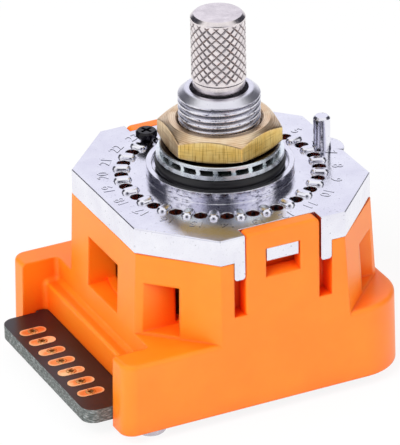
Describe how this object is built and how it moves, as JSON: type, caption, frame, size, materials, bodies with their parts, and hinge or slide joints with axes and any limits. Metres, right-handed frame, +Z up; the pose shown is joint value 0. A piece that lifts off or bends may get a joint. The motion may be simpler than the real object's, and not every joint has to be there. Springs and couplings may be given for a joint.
{
  "type": "rotary switch",
  "caption": "Coded rotary switch with a knurled shaft in a threaded bushing, an adjustable stop and solder pads on a board in its foot.",
  "frame": {"origin": "on the shaft's axis in the panel seat, the top face of the raised collar", "axes": "+Z up along the shaft, +X away from the solder pads, Y along the row of pads"},
  "size_m": [0.0379, 0.03, 0.0411],
  "materials": {
    "orange_plastic": "smooth moulded",
    "plated_zinc": "bright nickel plate",
    "black_rubber": "smooth",
    "plated_steel": "bright zinc plate",
    "brass": "fine turned",
    "nickel_steel": "nickel plate",
    "spring_steel": "drawn",
    "black_plastic": "moulded",
    "bronze": "rolled",
    "board": "solder mask",
    "copper": "bare copper",
    "cover_sheet": "sheet",
    "black_steel": "black oxide",
    "steel_ball": "polished",
    "screw_steel": "nickel plate"
  },
  "bodies": {
    "switch_frame": {"housing": "orange_plastic", "mounting_plate": "plated_zinc", "panel_o_ring": "black_rubber", "flat_washer": "plated_steel", "lock_washer": "plated_steel", "hex_nut": "brass", "thrust_washer": "plated_steel", "circuit_board": "board", "common_ring": "copper", "bottom_cover": "cover_sheet", "stop_screw": "black_steel", "locating_pin": "plated_zinc", "detent_spring_left": "spring_steel", "detent_spring_right": "spring_steel", "pad_1": "copper", "pad_2": "copper", "pad_3": "copper", "pad_4": "copper", "pad_5": "copper", "pad_6": "copper", "pad_7": "copper", "code_ring_1": "copper", "code_ring_2": "copper", "code_ring_3": "copper", "code_ring_4": "copper", "code_ring_5": "copper", "base_screw_front_left": "screw_steel", "base_screw_back_left": "screw_steel", "base_screw_front_right": "screw_steel", "base_screw_back_right": "screw_steel"},
    "spindle": {"shaft": "nickel_steel", "shaft_seal": "black_rubber", "retaining_ring": "spring_steel", "stop_disc": "black_plastic", "detent_wheel": "black_plastic", "rotor": "black_plastic", "contact_comb_1": "bronze", "contact_comb_2": "bronze"},
    "ball_left": {"detent_ball_left": "steel_ball"},
    "ball_right": {"detent_ball_right": "steel_ball"}
  },
  "joints": [
    {"name": "shaft_turn", "type": "hinge", "parent": "switch_frame", "child": "spindle", "pos_m": [0, 0, 0], "axis": [0, 0, 1], "range_deg": [-165, 165]},
    {"name": "ball_left_slide", "type": "slide", "parent": "switch_frame", "child": "ball_left", "axis": [1, 0, 0], "range_m": [0, 0.0003], "stiffness_N_per_m": 400, "springref_m": 0.0015, "deforming": ["detent_spring_left"]},
    {"name": "ball_right_slide", "type": "slide", "parent": "switch_frame", "child": "ball_right", "axis": [-1, 0, 0], "range_m": [0, 0.0003], "stiffness_N_per_m": 400, "springref_m": 0.0015, "deforming": ["detent_spring_right"]}
  ]
}
